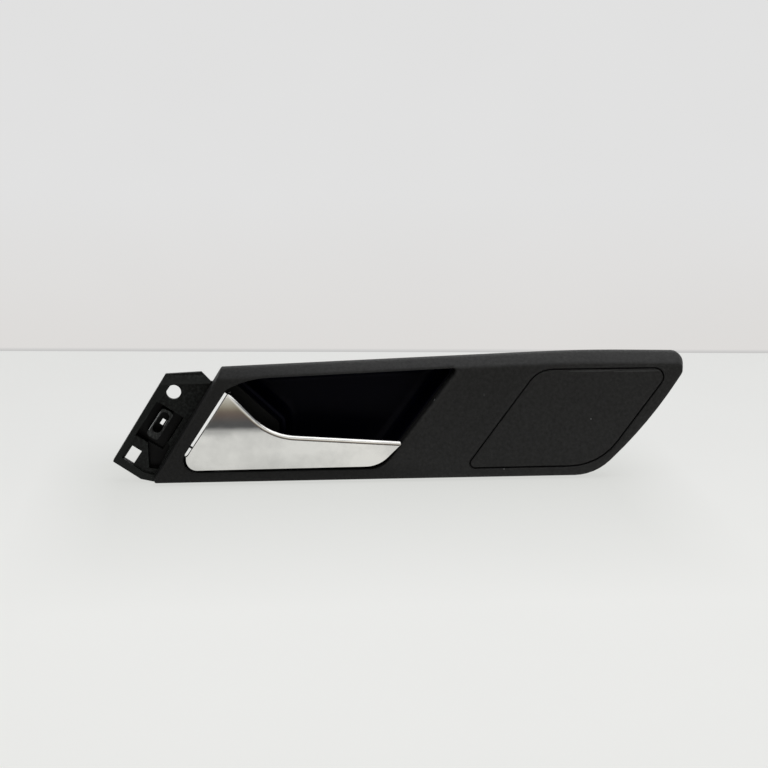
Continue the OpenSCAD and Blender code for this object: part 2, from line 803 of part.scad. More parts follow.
spring_steps = 14;
module return_spring() {
    total = spring_turns * spring_steps;
    low = spring_start + wire_r;
    coil = [for (i = [0:total])
        let (a = 360 * i / spring_steps)
        [coil_r * cos(a), coil_r * sin(a), low + spring_pitch * i / spring_steps]];
    leg_back = [coil_r, -(plate_y - hinge_y - wire_r - 0.3), low];
    color([0.45, 0.45, 0.47])
        at_edge()
            translate([hinge_inset, hinge_y, 0])
                mirror([0, 1, 0])
                    wire(concat([leg_back], coil, [[coil_r + 0.15, 1.4, low + spring_pitch * spring_turns + 0.1]]),
                        wire_r);
}

module rest_pad() {
    low_y = lever_face + lever_wall + pad_gap;
    color([0.1, 0.1, 0.1])
        at_edge()
            block([pad_at[0] - 2.6, low_y, pad_at[1] - 2.6],
                [pad_at[0] + 2.6, low_y + pad_thickness, pad_at[1] + 2.6]);
}

module open_stop_pad() {
    color([0.1, 0.1, 0.1])
        at_edge()
            block([stop_n, stop_y - 2.4, 3.4], [stop_n + pad_thickness, stop_y + 2.2, 9.4]);
}

module screw(i) {
    p = screw_seats[i][0];
    seat = screw_seats[i][1];
    color([0.5, 0.5, 0.5])
        difference() {
            union() {
                peg(p[0], p[1], seat, seat + screw_head_h, screw_head_r);
                peg(p[0], p[1], seat - screw_length, seat + eps, screw_r);
            }
            for (turn = [0, 90])
                translate([p[0], seat + screw_head_h, p[1]])
                    rotate([0, turn, 0])
                        block([-1.7, -1.1, -0.35], [1.7, 1, 0.35]);
        }
}

// Half of a clip's section: a leg, half of the closed end, and a barb
clip_inner = tower_t / 2 + 0.1;
clip_outer = clip_inner + clip_sheet;
clip_top = tower_reach + 0.1;
clip_half = [
    [clip_top, clip_inner], [bezel_depth + 1, clip_inner], [bezel_depth + 1, clip_outer],
    [clip_top - 6.6, clip_outer], [clip_top - 5.4, clip_outer + 2], [clip_top - 4.8, clip_outer + 2.2],
    [clip_top - 1, clip_outer], [clip_top + clip_sheet, clip_outer]
];

// A folded sheet clip over its tower: a closed end, two legs and two barbs
module trim_clip(i) {
    p = towers[i];
    color([0.62, 0.63, 0.64])
        translate([p[0] - tower_w / 2 + 0.5, 0, p[1]])
            rotate([90, 0, 90])
                linear_extrude(tower_w - 1)
                    polygon(concat(clip_half, [for (i = [7:-1:0]) [clip_half[i][0], -clip_half[i][1]]]));
}

on_datum() bezel();
on_datum() insert_panel();
on_datum() finger_bowl();
on_datum() carrier();
on_datum() lever();
on_datum() hinge_pin();
on_datum() pin_clip();
on_datum() return_spring();
on_datum() rest_pad();
on_datum() open_stop_pad();
on_datum() screw(0);  // screw_1
on_datum() screw(1);  // screw_2
on_datum() screw(2);  // screw_3
on_datum() screw(3);  // screw_4
on_datum() screw(4);  // screw_5
on_datum() screw(5);  // screw_6
on_datum() trim_clip(0);  // trim_clip_1
on_datum() trim_clip(1);  // trim_clip_2
on_datum() trim_clip(2);  // trim_clip_3
on_datum() trim_clip(3);  // trim_clip_4
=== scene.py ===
# %% [markdown]
# A car's inside door handle, dressed for a picture.
# The solids come from the CAD model and already hold every outline. This lesson lays a finish
# on each moulding, plates the lever, adds the finest rounded edges, and sets up a table and light.
# The handle could be modelled again here by eye, but then the picture and the parts that move
# and collide would drift apart. So the first step loads the solids as they are.

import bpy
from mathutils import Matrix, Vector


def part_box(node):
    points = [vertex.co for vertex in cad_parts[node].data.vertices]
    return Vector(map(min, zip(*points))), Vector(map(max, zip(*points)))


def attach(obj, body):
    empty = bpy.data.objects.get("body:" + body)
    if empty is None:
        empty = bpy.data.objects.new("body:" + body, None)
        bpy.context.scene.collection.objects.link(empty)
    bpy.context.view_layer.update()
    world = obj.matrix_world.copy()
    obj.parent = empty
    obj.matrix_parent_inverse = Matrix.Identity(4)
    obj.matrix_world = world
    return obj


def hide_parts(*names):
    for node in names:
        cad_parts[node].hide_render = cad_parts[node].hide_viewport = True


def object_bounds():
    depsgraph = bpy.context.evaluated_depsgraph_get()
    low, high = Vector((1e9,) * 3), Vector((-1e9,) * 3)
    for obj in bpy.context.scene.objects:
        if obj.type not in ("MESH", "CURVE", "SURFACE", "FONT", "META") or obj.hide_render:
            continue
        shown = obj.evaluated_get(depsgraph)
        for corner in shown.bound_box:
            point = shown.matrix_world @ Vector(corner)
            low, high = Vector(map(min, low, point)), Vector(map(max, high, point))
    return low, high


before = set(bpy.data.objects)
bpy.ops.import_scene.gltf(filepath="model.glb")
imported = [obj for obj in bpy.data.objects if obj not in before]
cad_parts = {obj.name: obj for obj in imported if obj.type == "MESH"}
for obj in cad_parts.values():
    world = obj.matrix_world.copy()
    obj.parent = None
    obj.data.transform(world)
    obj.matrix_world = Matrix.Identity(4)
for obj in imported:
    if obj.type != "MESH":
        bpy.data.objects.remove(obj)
print("loaded", len(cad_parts), "solids")

# %% [markdown]
# Blender counts in metres and a moulding is drawn in millimetres, so MM turns one into the
# other. The box of the solids is measured before anything is added, because a finish may not
# make the handle bigger. The front of the bezel and the handle's lowest point tell later steps
# where the face is and where the table goes.

# %% Measure what was loaded
import math

import bmesh
import bpy
from mathutils import Vector

solid_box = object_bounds()
MM = 0.001
face_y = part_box("bezel")[0].y
table_z = solid_box[0].z
print("box from", solid_box[0], "to", solid_box[1])

# %% [markdown]
# The camera stands where the photographer's did: almost square on, looking down by 12 degrees,
# with a long lens a metre away. A short lens close by could frame the same width, but it would
# spread the slanted right end and show too much of the throat.

# %% Camera
CAMERA_AT = Vector((0.04239, -0.97759, 0.21113))
LOOKS_AT = Vector((0.1156, -0.012, 0.0053))
LENS = 84.375
SENSOR = 36


def aim(thing, target):
    thing.rotation_mode = "QUATERNION"
    thing.rotation_quaternion = (target - thing.location).to_track_quat("-Z", "Y")


scene = bpy.context.scene
camera = bpy.data.objects.new("camera", bpy.data.cameras.new("camera"))
scene.collection.objects.link(camera)
camera.data.lens = LENS
camera.data.sensor_width = SENSOR
camera.location = CAMERA_AT
aim(camera, LOOKS_AT)
scene.camera = camera
print("camera", round((LOOKS_AT - CAMERA_AT).length, 3), "m from the handle")

# %% [markdown]
# Materials are graphs of nodes. Writing them link by link hides the idea, so one small class
# wraps a socket and lets a formula such as 1 - mask * 0.5 build its own Math nodes.


# %% A socket that does arithmetic
class Wire:
    def __init__(self, graph, socket):
        self.graph = graph
        self.socket = socket

    def maths(self, operation, a, b):
        return self.graph.node("ShaderNodeMath", {"operation": operation}, {0: a, 1: b})

    def __add__(self, other):
        return self.maths("ADD", self, other)

    def __sub__(self, other):
        return self.maths("SUBTRACT", self, other)

    def __rsub__(self, other):
        return self.maths("SUBTRACT", other, self)

    def __mul__(self, other):
        return self.maths("MULTIPLY", self, other)

    def __gt__(self, other):
        return self.maths("GREATER_THAN", self, other)

    def __lt__(self, other):
        return self.maths("LESS_THAN", self, other)

    __radd__ = __add__
    __rmul__ = __mul__


print("wires add, subtract, multiply and compare")

# %% [markdown]
# The other nodes need no sign of their own. One method makes any of them, with its settings
# first and its inputs by name, and the short methods under it name the few that come up again
# and again. Every pattern is placed by the metres of the object itself, so it stays on the
# piece from all sides and needs no unwrapping. Its scale is how many of its marks fit in a
# metre. A rise is a soft mask: nothing at the first of two measures, all at the second.


# %% A graph that makes its nodes
class Graph:
    def __init__(self, name):
        self.material = bpy.data.materials.new(name)
        self.material.use_nodes = True
        self.tree = self.material.node_tree
        self.shader = self.tree.nodes["Principled BSDF"]
        self.out = self.tree.nodes["Material Output"]

    def node(self, kind, settings=None, inputs=None, output=0):
        made = self.tree.nodes.new(kind)
        for key, value in (settings or {}).items():
            if key == "stops":
                self.set_stops(made.color_ramp, value)
            else:
                setattr(made, key, value)
        self.fill(made, inputs or {})
        return Wire(self, made.outputs[output])

    def set_stops(self, ramp, stops):
        while len(ramp.elements) < len(stops):
            ramp.elements.new(1)
        for element, (place, colour) in zip(ramp.elements, stops):
            element.position = place
            element.color = (*colour, 1)

    def fill(self, made, inputs):
        for key, value in inputs.items():
            if isinstance(value, Wire):
                self.tree.links.new(value.socket, made.inputs[key])
            elif isinstance(value, tuple) and len(value) == 3 and made.inputs[key].type == "RGBA":
                made.inputs[key].default_value = (*value, 1)
            else:
                made.inputs[key].default_value = value

    def vector(self, operation, inputs, output=0):
        settings = {"operation": operation}
        return self.node("ShaderNodeVectorMath", settings, dict(enumerate(inputs)), output)

    def place(self, scale=(1, 1, 1)):
        return self.vector("MULTIPLY", (self.node("ShaderNodeTexCoord", output=3), scale))

    def along(self, axis):
        return self.node("ShaderNodeSeparateXYZ", {}, {0: self.place()}, "XYZ".index(axis))

    def noise(self, scale, detail=2, stretch=(1, 1, 1)):
        inputs = {"Vector": self.place(stretch), "Scale": scale, "Detail": detail}
        return self.node("ShaderNodeTexNoise", {}, inputs)

    def cells(self, scale, feature="F1"):
        inputs = {"Vector": self.place(), "Scale": scale}
        return self.node("ShaderNodeTexVoronoi", {"feature": feature}, inputs)

    def mix(self, factor, a, b):
        settings = {"data_type": "RGBA"}
        return self.node("ShaderNodeMix", settings, {0: factor, 6: a, 7: b}, output=2)

    def clamp(self, value):
        return self.node("ShaderNodeClamp", {}, {0: value})

    def rise(self, value, none_at, full_at):
        return self.clamp((value - none_at) * (1 / (full_at - none_at)))

    def rounded_edge(self, radius):
        return self.node("ShaderNodeBevel", {"samples": 4}, {"Radius": radius})

    def bump(self, height, strength, distance, edge=0.0):
        inputs = {"Height": height, "Strength": strength, "Distance": distance}
        if edge:
            inputs["Normal"] = self.rounded_edge(edge)
        return self.node("ShaderNodeBump", {}, inputs)

    def finish(self, **inputs):
        self.fill(self.shader, {key.replace("_", " "): value for key, value in inputs.items()})
        return self.material


def times(values, amount):
    return tuple(v * amount for v in values)


finishes = {}
print("graphs ready")

# %% [markdown]
# Dust shows white on black plastic. It could be real small meshes, but a speck has no height to
# speak of, so it is only a lighter colour. A sparse cell pattern scatters faint ones, and the
# few that the eye finds lie where they are wanted: each is an egg shape in space, and what the
# surface cuts out of it turns light. Two long flat eggs are a painted highlight, the thin light
# line that runs inside the top of the seam, and four in a row follow the rounded grip edge.

# %% Specks and a painted highlight
# (centre, half sizes, strength), with both places and sizes in millimetres
SPECKS_AND_HIGHLIGHT = [
    # painted highlight: these two long flat eggs are the light line inside the top of the seam
    ((231.3, -12, 10.75), (13.5, 1, 0.42), 0.12),
    ((256.7, -12, 10.37), (13.5, 1, 0.42), 0.12),
    ((231.3, -11.9, -16.5), (0.36, 0.36, 0.36), 0.6),
    ((182.8, -12, -44.3), (0.4, 0.4, 0.4), 0.5),
    ((171.1, -12, -1.8), (0.3, 0.3, 0.9), 0.12),
]
SPECKS_AND_HIGHLIGHT += [
    ((143.6 + 0.1 * k, -11.4 + k, -4.3 - 0.2 * k), (0.5, 0.5, 0.5), 0.6) for k in range(4)
]
FAINT_SPECKS, FAINT_RADIUS, FAINT_STRENGTH = 120, 0.03, 0.1
DUSTY_PATCHES, DUSTY_OVER = 50, 0.56


def egg_mask(g, centre, half_sizes):
    gap = g.vector("SUBTRACT", (g.place(), times(centre, MM)))
    shares = tuple(1 / (half * MM) for half in half_sizes)
    squeezed = g.vector("MULTIPLY", (gap, shares))
    return g.vector("LENGTH", (squeezed,), output=1) < 1.0


def dust_and_highlight(g):
    dots, patches = g.cells(FAINT_SPECKS), g.noise(DUSTY_PATCHES, 1)
    total = (dots < FAINT_RADIUS) * (patches > DUSTY_OVER) * FAINT_STRENGTH
    for centre, half_sizes, strength in SPECKS_AND_HIGHLIGHT:
        total = total + egg_mask(g, centre, half_sizes) * strength
    return total


print("specks", len(SPECKS_AND_HIGHLIGHT))

# %% [markdown]
# The bezel's skin is a fine leather-like grain, moulded in. It is far too fine to model, so a
# cell pattern feeds a bump of under a fifth of a millimetre, and the same pattern varies the
# roughness. Lint and handling lighten black plastic in fine mottles. The left end and the strip
# below the opening are darkened with painted shade, and the same mask makes them duller. The
# edges are round on the real moulding, and a Bevel node turns the light round them as a mesh of
# many thin faces would, without making any.

# %% Grained plastic
PORES, PEBBLES, ROUGHCAST, LINT, WEAR = 1500, 620, 700, 520, 14
GRAIN_STRENGTH, GRAIN_HEIGHT = 0.85, 0.16 * MM
GRAINED_SHINE = 0.42
DUST_AND_HIGHLIGHT_COLOUR = (0.32, 0.32, 0.31)
LEFT_END = (95 * MM, 0)
BELOW_OPENING, LEFT_OF_INSERT = (-40 * MM, -43 * MM), (150 * MM, 100 * MM)


def painted_shade_area(g):
    x, z = g.along("X"), g.along("Z")
    below = g.rise(z, *BELOW_OPENING) * g.rise(x, *LEFT_OF_INSERT)
    return g.clamp(g.rise(x, *LEFT_END) + below)


def grain_of(g):
    pebbles = g.cells(PEBBLES, "SMOOTH_F1")
    return g.cells(PORES) * 0.4 + pebbles * 0.35 + g.noise(ROUGHCAST, 4) * 0.6


def grained(name, colour, rough, edge):
    g = Graph(name)
    grain, worn, shade_area = grain_of(g), g.noise(WEAR, 4), painted_shade_area(g)
    lint = (g.noise(LINT, 6) - 0.5) * 2.4 + worn
    tone = g.mix(lint, times(colour, 0.55), times(colour, 1.5))
    # painted shade: the left end and the strip below the opening are darkened
    tone = g.mix(shade_area, tone, times(colour, 0.3))
    return g.finish(
        # dust and the painted seam highlight lighten the colour
        Base_Color=g.mix(dust_and_highlight(g), tone, DUST_AND_HIGHLIGHT_COLOUR),
        Roughness=rough + (grain - 0.55) * 0.4 + worn * 0.06 + shade_area * 0.12,
        Normal=g.bump(grain, GRAIN_STRENGTH, GRAIN_HEIGHT, edge),
        Specular_IOR_Level=GRAINED_SHINE,
    )


# name, colour, roughness, edge radius
for row in (
    ("grained_black", (0.0134, 0.0132, 0.0128), 0.47, 2.6 * MM),
    ("insert_black", (0.0142, 0.014, 0.0136), 0.49, 1.0 * MM),
):
    finishes[row[0]] = grained(*row)
print("grained", ", ".join(finishes))

# %% [markdown]
# The finger bowl and the carrier are plain black mouldings, from tools with no grain. The bowl
# lies in the shade, so its colour is painted shade, far darker than black plastic: a dim
# blue-black with a weak shine. A flat colour would look like paper, so a cloudy pattern moves the
# roughness up and down a little, and a second one is drawn out the way that the plastic flowed.

# %% Smooth plastic for the bowl
CLOUD, FLOW, TOOL_MARKS = 140, 35, 900
FLOW_STRETCH = (0.4, 1, 1.6)
# painted shade: the bowl's colour is far darker than plain black plastic
BOWL_SHADED = (0.0003, 0.0003, 0.004)


def moulded(g, tone, rough, shine, edge, uneven):
    cloud, flow = g.noise(CLOUD, 4), g.noise(FLOW, 2, FLOW_STRETCH)
    return g.finish(
        Base_Color=tone,
        Roughness=rough + (cloud - 0.5) * uneven * 2 + (flow - 0.5) * uneven,
        Normal=g.bump(g.noise(TOOL_MARKS, 3), 0.2, 0.04 * MM, edge),
        Specular_IOR_Level=shine,
    )


g = Graph("bowl_black")
bowl_shaded_tone = g.mix(g.noise(CLOUD, 4), BOWL_SHADED, times(BOWL_SHADED, 1.4))
finishes["bowl_black"] = moulded(
    g, bowl_shaded_tone, rough=0.4, shine=0.075, edge=2.5 * MM, uneven=0.05
)
print("bowl colour", BOWL_SHADED)

# %% [markdown]
# The carrier's plastic is full of glass fibre, so it scatters light more and looks faintly
# green and mottled. The lamps alone would light its deep pockets too well, so painted shade
# takes the colour down with depth, and also where the carrier runs on behind the bezel. Faces
# standing forward of the plate are painted lighter. The screw collar's front ring gets a faint
# painted highlight, and its edge that faces up and to the left, where the light falls, a bright
# one. A mask could mark that edge, but a dot product with the rounded edge's direction finds
# that side by itself.

# %% Smooth plastic for the carrier
CARRIER = (0.0058, 0.0067, 0.0060)
PAINTED_HIGHLIGHT = (0.8, 0.8, 0.78)
MOTTLE = 620
COLLAR, COLLAR_SIZE = (-8.0, 0.0, -18.1), (8.9, 8.9, 8.9)
COLLAR_EDGE, COLLAR_EDGE_SIZE = (-11.7, 0.0, -15.6), (6.2, 6.2, 6.2)
COLLAR_ROUND = 0.8 * MM
UP_AND_LEFT = (-0.75, 0.0, 0.66)
AT_FRONT, DEEP, BEHIND_BEZEL = 0.4 * MM, 1.2 * MM, 20 * MM
PROUD = (0, -2 * MM)


def carrier_tone(g, colour, depth, behind_bezel_shade):
    mottle = (g.noise(MOTTLE, 5) - 0.42) * 3.2
    tone = g.mix(mottle, times(colour, 0.6), times(colour, 4.4))
    # faces standing forward of the plate are painted lighter
    tone = g.mix(g.rise(depth, *PROUD), tone, times(colour, 1.9))
    # painted shade: deep pockets and the part behind the bezel go almost black
    tone = g.mix((depth > DEEP) + behind_bezel_shade * 0.85, tone, times(colour, 0.03))
    front = depth < AT_FRONT
    # painted highlight: a faint lighter front ring on the screw collar
    ring_highlight = front * egg_mask(g, COLLAR, COLLAR_SIZE) * (mottle * 0.05 + 0.03)
    tone = g.mix(ring_highlight, tone, PAINTED_HIGHLIGHT)
    # painted highlight: the collar edge that faces up and to the left
    facing = g.vector("DOT_PRODUCT", (g.rounded_edge(COLLAR_ROUND), UP_AND_LEFT), output=1)
    edge_highlight = front * egg_mask(g, COLLAR_EDGE, COLLAR_EDGE_SIZE) * facing * 3.2
    return g.mix(edge_highlight, tone, PAINTED_HIGHLIGHT)


g = Graph("carrier_black")
behind_bezel_shade = g.along("X") > BEHIND_BEZEL
carrier_colour = carrier_tone(g, CARRIER, g.along("Y"), behind_bezel_shade)
carrier_rough = 0.45 + behind_bezel_shade * 0.15
finishes["carrier_black"] = moulded(
    g, carrier_colour, carrier_rough, shine=0.22, edge=0.35 * MM, uneven=0.08
)
print("carrier darkens", round(DEEP / MM, 1), "mm behind its front")

# %% [markdown]
# Satin plating is a metal with a little roughness. Handling leaves soft smears, so broad noise
# moves the roughness and the tint up and down, which keeps a clean metal from looking like a
# mirror. The plating looks brighter toward the tip, where it mirrors a lighter part of the room,
# so the tint rises that way. The steel of the pin, spring, screws and clips is the same recipe,
# greyer and duller, and the clips' noise is drawn out as rolled sheet is.

# %% Metal
SMEARS, PRINTS, BRUSHING = 26, 110, 500
SMEAR_STRETCH = (1, 1, 1.6)
TOWARD_TIP = (60 * MM, 105 * MM)


def metal(name, colour, rough, smear=0.06, drawn=(1, 1, 1), tip=None):
    g = Graph(name)
    smears, prints = g.noise(SMEARS, 4, SMEAR_STRETCH), g.noise(PRINTS, 3)
    fine = g.noise(BRUSHING, 2, drawn)
    tone = colour
    if tip is not None:
        # painted reflection: the tint brightens toward the tip, where the plating mirrors a
        # lighter room
        tone = g.mix(g.rise(g.along("X"), *TOWARD_TIP), colour, tip)
    return g.finish(
        Base_Color=g.mix(smears * 2.2 + prints * 1.1 - 1.3, tone, times(colour, 0.75)),
        Metallic=1.0,
        Roughness=rough + (smears - 0.5) * smear + (fine - 0.5) * smear * 0.5,
        Normal=g.bump(fine, 0.05, 0.01 * MM),
    )


PLATED, PLATED_TIP_REFLECTION = (0.852, 0.844, 0.82), (0.925, 0.91, 0.88)
PLATED_ROUGH, PLATED_SMEAR = 0.115, 0.12
finishes["satin_chrome"] = metal(
    "satin_chrome", PLATED, PLATED_ROUGH, PLATED_SMEAR, tip=PLATED_TIP_REFLECTION
)
finishes["steel"] = metal("steel", (0.48, 0.48, 0.47), 0.3)
finishes["spring_steel"] = metal("spring_steel", (0.3, 0.3, 0.31), 0.32)
finishes["screw_steel"] = metal("screw_steel", (0.42, 0.42, 0.4), 0.35)
finishes["clip_steel"] = metal("clip_steel", (0.5, 0.51, 0.52), 0.33, drawn=(1, 6, 1))
print("plating roughness", PLATED_ROUGH, "give or take", PLATED_SMEAR / 2)

# %% [markdown]
# The two pads that the lever rests on and stops against are rubber. Rubber is dull and never
# quite even, so one cloudy pattern is enough for its colour, its roughness and its faint bump.

# %% Rubber
RUBBER_CLOUD = 300


def rubber(name, colour):
    g = Graph(name)
    cloud = g.noise(RUBBER_CLOUD, 3)
    return g.finish(
        Base_Color=g.mix(cloud, colour, times(colour, 1.6)),
        Roughness=0.75 + (cloud - 0.5) * 0.2,
        Normal=g.bump(cloud, 0.2, 0.05 * MM),
    )


finishes["rubber"] = rubber("rubber", (0.012, 0.012, 0.012))
print("finishes", ", ".join(finishes))

# %% [markdown]
# The lever is the piece that the eye goes to, so its front is built again, much finer. Its
# outline could be a drawn curve, but corners with radii are how a toolmaker would write it. An
# outline is a list of corners (x, z, radius) in millimetres, anticlockwise, measured from the
# lower left corner of the bezel's face. Each corner becomes an arc that touches both sides.

# %% Outlines
FACE_CORNER = Vector((-12, -12, -48.4))
ARC_STEPS = 14


def sides_at(corners, i):
    point = Vector(corners[i][:2])
    arrives = (point - Vector(corners[i - 1][:2])).normalized()
    leaves = (Vector(corners[(i + 1) % len(corners)][:2]) - point).normalized()
    return point, arrives, leaves


def rounded(corners, steps=ARC_STEPS):
    points = []
    for i, (x, z, r) in enumerate(corners):
        point, arrives, leaves = sides_at(corners, i)
        half = math.acos(max(-1.0, min(1.0, -arrives.dot(leaves)))) / 2
        centre = point + (leaves - arrives).normalized() * (r / math.sin(half))
        start = point - arrives * (r / math.tan(half)) - centre
        end = point + leaves * (r / math.tan(half)) - centre
        first = math.atan2(start.y, start.x)
        turn = math.atan2(end.y, end.x) - first
        turn = (turn + math.pi) % (2 * math.pi) - math.pi
        for k in range(steps + 1):
            angle = first + turn * k / steps
            points.append((centre.x + r * math.cos(angle), centre.y + r * math.sin(angle)))
    return points


print("an outline turns each corner in", ARC_STEPS, "steps")

# %% [markdown]
# A shell is made of rings of one outline, each a little smaller than the last. Scaling the
# outline would thin its long side more than its short one. So each side moves inward by its own
# distance, and each corner is where its two moved sides meet. A corner that bends outward loses
# radius as it moves in, and a hollow one gains it.


# %% Outlines moved inward
def cross(a, b):
    return a.x * b.y - a.y * b.x


def shrunk(corners, distances, least_radius=0.15):
    moved = []
    for i, (x, z, r) in enumerate(corners):
        arrives, leaves = sides_at(corners, i)[1:]
        before, after = Vector((arrives.y, -arrives.x)), Vector((leaves.y, -leaves.x))
        d, e = -distances[i - 1], -distances[i]
        new_x = x + (d * after.y - e * before.y) / cross(before, after)
        new_z = z + (e * before.x - d * after.x) / cross(before, after)
        bend = 1 if cross(arrives, leaves) > 0 else -1
        moved.append((new_x, new_z, max(r + bend * (d + e) / 2, least_radius)))
    return moved


def skin(mesh, rings):
    loops = [[mesh.verts.new((x, y, z)) for x, z in points] for points, y in rings]
    for near, far in zip(loops, loops[1:]):
        for k in range(len(near)):
            mesh.faces.new((near[k - 1], near[k], far[k], far[k - 1]))
    mesh.faces.new(loops[0])
    mesh.faces.new(loops[-1])


print("outlines can shrink and be skinned")

# %% [markdown]
# The lever is a thin plated shell with a bead along its upper edge, hollow behind. Each row of
# the profile is one ring: how far it lies inside the beaded edge, the tip end and the other
# sides, and how deep behind the front. The rings climb from the face over the bead, turn round
# the outer edge, go back, and end inside the hollow. A flat outline with a bevel modifier
# would be quicker, but it would give every side the same edge.

# %% Lever shell
LEVER = [
    (124.9, 6.8, 18),
    (139.2, 20.9, 1.3),
    (65, 26.3, 35),
    (42.4, 50.4, 1.2),
    (19.2, 15.4, 0.3),
    (18, 14.4, 0.4),
    (18, 6.2, 6.4),
]
LEVER_TOP = 50.4
LEVER_DEPTH = 3.8
WALL = 2.2
lever_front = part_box("lever")[0].y / MM - FACE_CORNER.y
lever_back = lever_front + LEVER_DEPTH
PROFILE = [
    (2.7, 0.5, 0.42, 0.0),
    (1.95, 0.42, 0.33, 0.09),
    (1.4, 0.3, 0.22, 0.29),
    (0.8, 0.12, 0.09, 0.72),
    (0.3, 0.16, 0.02, 1.25),
    (0.06, 0.5, 0.0, 1.68),
    (0.0, 1.0, 0.0, 2.1),
    (0.0, 2.0, 0.0, 3.55),
    (0.12, 2.1, 0.12, 3.75),
    (0.3, 2.3, 0.3, LEVER_DEPTH),
    (WALL - 0.2, 3.4, WALL - 0.2, LEVER_DEPTH),
    (WALL, 3.6, WALL, 3.6),
    (WALL + 0.05, 3.7, WALL + 0.05, WALL + 0.3),
    (WALL + 0.4, 4.0, WALL + 0.4, WALL),
]


def lever_ring(bead, end, others):
    return rounded(shrunk(LEVER, [end, bead, bead] + [others] * 4))


shell = bmesh.new()
skin(shell, [(lever_ring(*row[:3]), lever_front + row[3]) for row in PROFILE])
print("flat shell", len(shell.faces), "faces")

# %% [markdown]
# The lever's face is flat below and leans back above, as if wrapped on a cylinder. Level cuts
# give the upper half enough rows, and then every vertex slides back by the lean at its height.
# The back slides less than the face, so the shell grows thinner toward its peak. A shell bent
# by a modifier would be just as round, but it would bend the flat lower half a little too.

# %% Lean the upper half
LEAN_START, LEAN_RADIUS = 30.0, 70.0
CUT_STEP = 0.9
BEHIND_WALL = 0.35
BACK_SHARE = 0.7


def everything(mesh):
    return mesh.verts[:] + mesh.edges[:] + mesh.faces[:]


level = LEAN_START - 2
while level < LEVER_TOP:
    bmesh.ops.bisect_plane(
        shell, geom=everything(shell), plane_co=(0, 0, level), plane_no=(0, 0, 1), dist=0.00001
    )
    level += CUT_STEP
for vertex in shell.verts:
    if vertex.co.z > LEAN_START:
        back = LEAN_RADIUS - math.sqrt(LEAN_RADIUS**2 - (vertex.co.z - LEAN_START) ** 2)
        in_front = vertex.co.y - lever_front < WALL + BEHIND_WALL
        vertex.co.y += back * (1.0 if in_front else BACK_SHARE)
print("lever shell", len(shell.faces), "faces")

# %% [markdown]
# The lugs and the arm are plain shapes that the solid already holds exactly. They could be
# drawn again, but a copy of the solid can't miss the pin. So a copy is cropped to a band beside
# the slanted hinge edge, what is left of the solid's own rim is thrown away, and the cut
# ends are sunk into the new shell.

# %% Lever lugs
HINGE_LEAN = math.radians(33.5)
HINGE_FOOT = Vector((19.2, 0, 15.2))
LUGS_FROM, LUGS_TO = 5, 15.5
LOW_RIM, HIGH_RIM, RIM_DEPTH = 9.5, 34, 1.5
SUNK = 0.3
across = Vector((math.cos(HINGE_LEAN), 0, -math.sin(HINGE_LEAN)))
floor = lever_front + WALL


def crop(mesh, point, outward):
    bmesh.ops.bisect_plane(
        mesh, geom=everything(mesh), plane_co=point, plane_no=outward, clear_outer=True
    )


lugs = bmesh.new()
lugs.from_mesh(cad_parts["lever"].data)
bmesh.ops.scale(lugs, verts=lugs.verts, vec=(1 / MM, 1 / MM, 1 / MM))
bmesh.ops.translate(lugs, verts=lugs.verts, vec=-FACE_CORNER)
crop(lugs, (0, floor + BEHIND_WALL, 0), (0, -1, 0))
crop(lugs, HINGE_FOOT + across * LUGS_FROM, -across)
crop(lugs, HINGE_FOOT + across * LUGS_TO, across)
for vertex in lugs.verts:
    if vertex.co.y < floor + BEHIND_WALL + 0.01:
        vertex.co.y = floor - SUNK
rim = [
    v
    for v in lugs.verts
    if v.co.z < LOW_RIM or (v.co.z > HIGH_RIM and v.co.y < floor + RIM_DEPTH)
]
bmesh.ops.delete(lugs, geom=rim, context="VERTS")
print("lugs", len(lugs.faces), "faces")

# %% [markdown]
# Three thin ribs stiffen the hollow back, as on most moulded levers. A rib is a plain upright
# wall, so each is a box that stops short of the sloping upper edge. Shell, lugs and ribs then
# become one mesh, shaded smooth except over crisp corners. Weighted normals keep the flat face
# flat where it meets the rounded bead.

# %% Ribs, and the whole lever
RIBS_AT = (72, 88, 104)
RIB_WIDTH, RIB_FOOT, BELOW_EDGE, BELOW_RIM = 1.4, 7.2, 1, 0.3
CRISP = 32


def upper_edge(x):
    tip, bend = LEVER[1], LEVER[2]
    return tip[1] + (tip[0] - x) * (bend[1] - tip[1]) / (tip[0] - bend[0])


def smooth_piece(mesh, name, crisp):
    bmesh.ops.recalc_face_normals(mesh, faces=mesh.faces)
    bmesh.ops.translate(mesh, verts=mesh.verts, vec=FACE_CORNER)
    bmesh.ops.scale(mesh, verts=mesh.verts, vec=(MM, MM, MM))
    data = bpy.data.meshes.new(name)
    mesh.to_mesh(data)
    mesh.free()
    for face in data.polygons:
        face.use_smooth = True
    data.set_sharp_from_angle(angle=math.radians(crisp))
    thing = bpy.data.objects.new(name, data)
    scene.collection.objects.link(thing)
    even = thing.modifiers.new("even", "WEIGHTED_NORMAL")
    even.keep_sharp = True
    return thing


for x in RIBS_AT:
    low = Vector((x, floor - SUNK, RIB_FOOT))
    high = Vector((x + RIB_WIDTH, lever_back - BELOW_RIM, upper_edge(x) - BELOW_EDGE))
    rib = bmesh.ops.create_cube(lugs, size=1)["verts"]
    bmesh.ops.scale(lugs, verts=rib, vec=high - low)
    bmesh.ops.translate(lugs, verts=rib, vec=(low + high) / 2)
lug_mesh = bpy.data.meshes.new("lugs")
lugs.to_mesh(lug_mesh)
lugs.free()
shell.from_mesh(lug_mesh)
bpy.data.meshes.remove(lug_mesh)
lever = smooth_piece(shell, "lever_fine", CRISP)
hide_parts("lever")
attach(lever, "pull")
print("lever", len(lever.data.polygons), "faces, box", [round(c, 4) for c in lever.dimensions])

